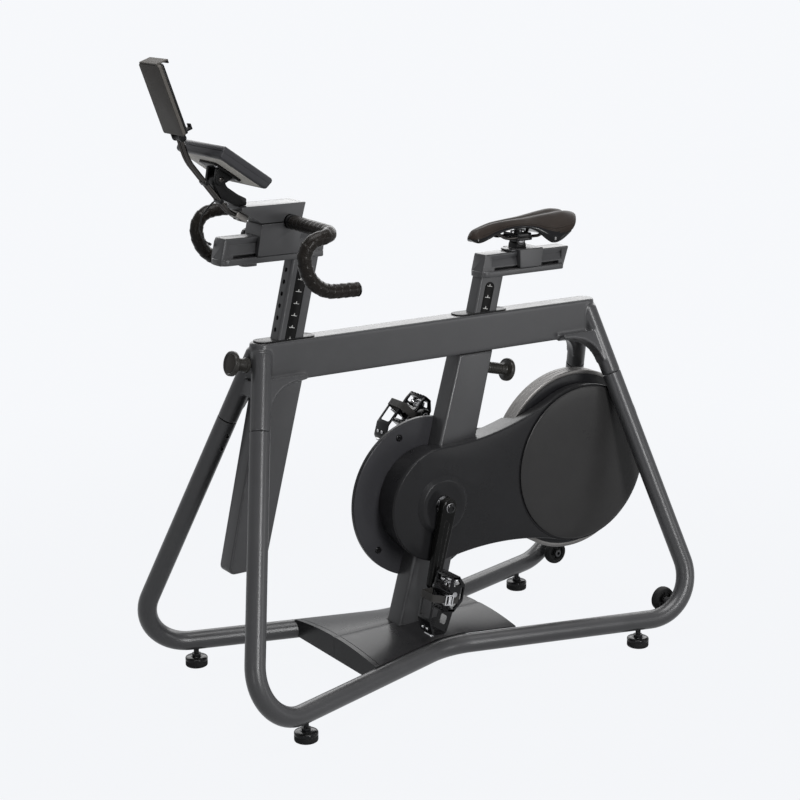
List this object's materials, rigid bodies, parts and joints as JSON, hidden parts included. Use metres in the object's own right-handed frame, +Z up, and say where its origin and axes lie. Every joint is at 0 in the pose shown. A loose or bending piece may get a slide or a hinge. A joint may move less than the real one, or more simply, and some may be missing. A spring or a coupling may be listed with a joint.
{
  "type": "exercise bike",
  "caption": "Indoor exercise bike on an A-shaped tube frame with an enclosed flywheel, sliding saddle, sliding drop handlebar, console and tablet holder.",
  "frame": {"origin": "on the floor under the middle of the bike's length, in the middle plane of its frame", "axes": "+X forward, +Y the rider's left, +Z up"},
  "size_m": [1.2608, 0.5472, 1.3567],
  "materials": {
    "frame_paint": "satin dark graphite",
    "black_paint": "satin black",
    "casing_plastic": "fine satin dark grey",
    "black_plastic": "satin black",
    "gloss_black": "glossy black",
    "tablet_plastic": "satin grey-brown",
    "scale_insert": "black with white marks",
    "rubber": "matt",
    "belt_rubber": "ribbed",
    "cable_jacket": "smooth",
    "steel": "bare",
    "flywheel_steel": "machined rim, dark painted disc",
    "chrome": "polished",
    "arm_alloy": "black anodised",
    "bar_tape": "wrapped tape, slightly glossy",
    "saddle_cover": "smooth dark brownish black",
    "screen_glass": "switched-off display"
  },
  "bodies": {
    "frame": {"main_beam": "frame_paint", "left_side_tube": "frame_paint", "right_side_tube": "frame_paint", "front_collar": "frame_paint", "rear_collar": "frame_paint", "handlebar_sleeve": "frame_paint", "seat_tube": "frame_paint", "base_bridge": "black_paint", "left_base_cover": "casing_plastic", "right_base_cover": "casing_plastic", "bottom_bracket": "steel", "left_drive_arm": "black_paint", "right_drive_arm": "black_paint", "brake_magnet": "black_plastic", "drive_belt": "belt_rubber", "left_casing": "casing_plastic", "left_disc_cover": "casing_plastic", "right_casing": "casing_plastic", "right_casing_plate": "casing_plastic"},
    "front_left_foot_body": {"front_left_foot": "rubber"},
    "front_right_foot_body": {"front_right_foot": "rubber"},
    "rear_left_foot_body": {"rear_left_foot": "rubber"},
    "rear_right_foot_body": {"rear_right_foot": "rubber"},
    "left_wheel_body": {"left_transport_wheel": "gloss_black"},
    "right_wheel_body": {"right_transport_wheel": "gloss_black"},
    "crank": {"crank_spindle": "steel", "left_crank_arm": "arm_alloy", "right_crank_arm": "arm_alloy"},
    "left_pedal_body": {"left_pedal": "black_plastic", "left_toe_cage": "black_plastic"},
    "right_pedal_body": {"right_pedal": "black_plastic", "right_toe_cage": "black_plastic"},
    "flywheel_body": {"flywheel": "flywheel_steel", "flywheel_shaft": "steel"},
    "front_knob_body": {"front_pull_knob": "black_plastic"},
    "rear_knob_body": {"rear_pull_knob": "black_plastic"},
    "handlebar_column": {"handlebar_post": "frame_paint", "handlebar_scale": "scale_insert", "handlebar_rail": "frame_paint"},
    "handlebar_carriage": {"handlebar_slider": "frame_paint", "slider_cap": "frame_paint", "handlebar": "bar_tape", "console_arm": "black_plastic", "tablet_stalk": "chrome", "console_cable": "cable_jacket"},
    "slider_knob_body": {"slider_knob": "black_plastic"},
    "console": {"console_shell": "black_plastic", "console_screen": "screen_glass", "console_bracket": "black_plastic"},
    "tablet_holder": {"tablet_plate": "tablet_plastic", "tablet_hook": "black_plastic"},
    "tablet_clip_body": {"tablet_clip": "tablet_plastic"},
    "seat_column": {"seat_post": "frame_paint", "seat_scale": "scale_insert", "seat_rail": "frame_paint"},
    "seat_slide": {"seat_carriage": "frame_paint"},
    "seat_lever_body": {"seat_lever": "steel"},
    "saddle_body": {"saddle": "saddle_cover", "saddle_rails": "steel", "saddle_clamp": "black_plastic"}
  },
  "joints": [
    {"name": "front_left_foot_turn", "type": "hinge", "parent": "frame", "child": "front_left_foot_body", "pos_m": [0.44257, 0.23713, 0], "axis": [0, 0, 1], "continuous": true},
    {"name": "front_right_foot_turn", "type": "hinge", "parent": "frame", "child": "front_right_foot_body", "pos_m": [0.44257, -0.23713, 0], "axis": [0, 0, 1], "continuous": true},
    {"name": "rear_left_foot_turn", "type": "hinge", "parent": "frame", "child": "rear_left_foot_body", "pos_m": [-0.45243, 0.22849, 0], "axis": [0, 0, 1], "continuous": true},
    {"name": "rear_right_foot_turn", "type": "hinge", "parent": "frame", "child": "rear_right_foot_body", "pos_m": [-0.45243, -0.22849, 0], "axis": [0, 0, 1], "continuous": true},
    {"name": "left_transport_wheel_spin", "type": "hinge", "parent": "frame", "child": "left_wheel_body", "pos_m": [-0.55043, 0.2, 0.085], "axis": [0, 1, 0], "continuous": true},
    {"name": "right_transport_wheel_spin", "type": "hinge", "parent": "frame", "child": "right_wheel_body", "pos_m": [-0.55043, -0.2, 0.085], "axis": [0, 1, 0], "continuous": true},
    {"name": "flywheel_spin", "type": "hinge", "parent": "frame", "child": "flywheel_body", "pos_m": [-0.41843, 0, 0.402], "axis": [0, 1, 0], "continuous": true},
    {"name": "crank_spin", "type": "hinge", "parent": "frame", "child": "crank", "pos_m": [-0.02243, 0, 0.37], "axis": [0, 1, 0], "continuous": true},
    {"name": "left_pedal_spin", "type": "hinge", "parent": "crank", "child": "left_pedal_body", "pos_m": [0.01634, 0.125, 0.19935], "axis": [0, 1, 0], "continuous": true},
    {"name": "right_pedal_spin", "type": "hinge", "parent": "crank", "child": "right_pedal_body", "pos_m": [-0.0612, -0.125, 0.54065], "axis": [0, 1, 0], "continuous": true},
    {"name": "front_knob_pull", "type": "slide", "parent": "frame", "child": "front_knob_body", "axis": [0.974, 0, 0.2266], "range_m": [0, 0.012], "stiffness_N_per_m": 1500, "springref_m": -0.004},
    {"name": "rear_knob_pull", "type": "slide", "parent": "frame", "child": "rear_knob_body", "axis": [-0.974, 0, -0.2266], "range_m": [0, 0.012], "stiffness_N_per_m": 1500, "springref_m": -0.004},
    {"name": "handlebar_height", "type": "slide", "parent": "frame", "child": "handlebar_column", "axis": [-0.2266, 0, 0.974], "range_m": [-0.12, 0.1]},
    {"name": "handlebar_reach", "type": "slide", "parent": "handlebar_column", "child": "handlebar_carriage", "axis": [1, 0, 0], "range_m": [-0.04, 0.07]},
    {"name": "slider_knob_turn", "type": "hinge", "parent": "handlebar_carriage", "child": "slider_knob_body", "pos_m": [0.39757, -0.04, 0.994], "axis": [0, 1, 0], "continuous": true},
    {"name": "console_tilt", "type": "hinge", "parent": "handlebar_carriage", "child": "console", "pos_m": [0.49057, 0, 1.119], "axis": [0, 1, 0], "range_deg": [-12, 10]},
    {"name": "tablet_tilt", "type": "hinge", "parent": "handlebar_carriage", "child": "tablet_holder", "pos_m": [0.56757, 0, 1.204], "axis": [0, 1, 0], "range_deg": [-20, 20]},
    {"name": "tablet_clip_pull", "type": "slide", "parent": "tablet_holder", "child": "tablet_clip_body", "axis": [0.342, 0, 0.9397], "range_m": [0, 0.03], "stiffness_N_per_m": 120, "springref_m": -0.01},
    {"name": "seat_height", "type": "slide", "parent": "frame", "child": "seat_column", "axis": [-0.2266, 0, 0.974], "range_m": [-0.05, 0.15]},
    {"name": "saddle_reach", "type": "slide", "parent": "seat_column", "child": "seat_slide", "axis": [1, 0, 0], "range_m": [-0.06, 0.06]},
    {"name": "seat_lever_lift", "type": "hinge", "parent": "seat_slide", "child": "seat_lever_body", "pos_m": [-0.24213, 0, 0.91], "axis": [0, 1, 0], "range_deg": [-60, 0]},
    {"name": "saddle_tilt", "type": "hinge", "parent": "seat_slide", "child": "saddle_body", "pos_m": [-0.26043, 0, 0.93], "axis": [0, 1, 0], "range_deg": [-8, 8]}
  ],
  "couplings": [
    {"joint": "crank_spin", "follows": "flywheel_spin", "ratio": 0.31111}
  ]
}
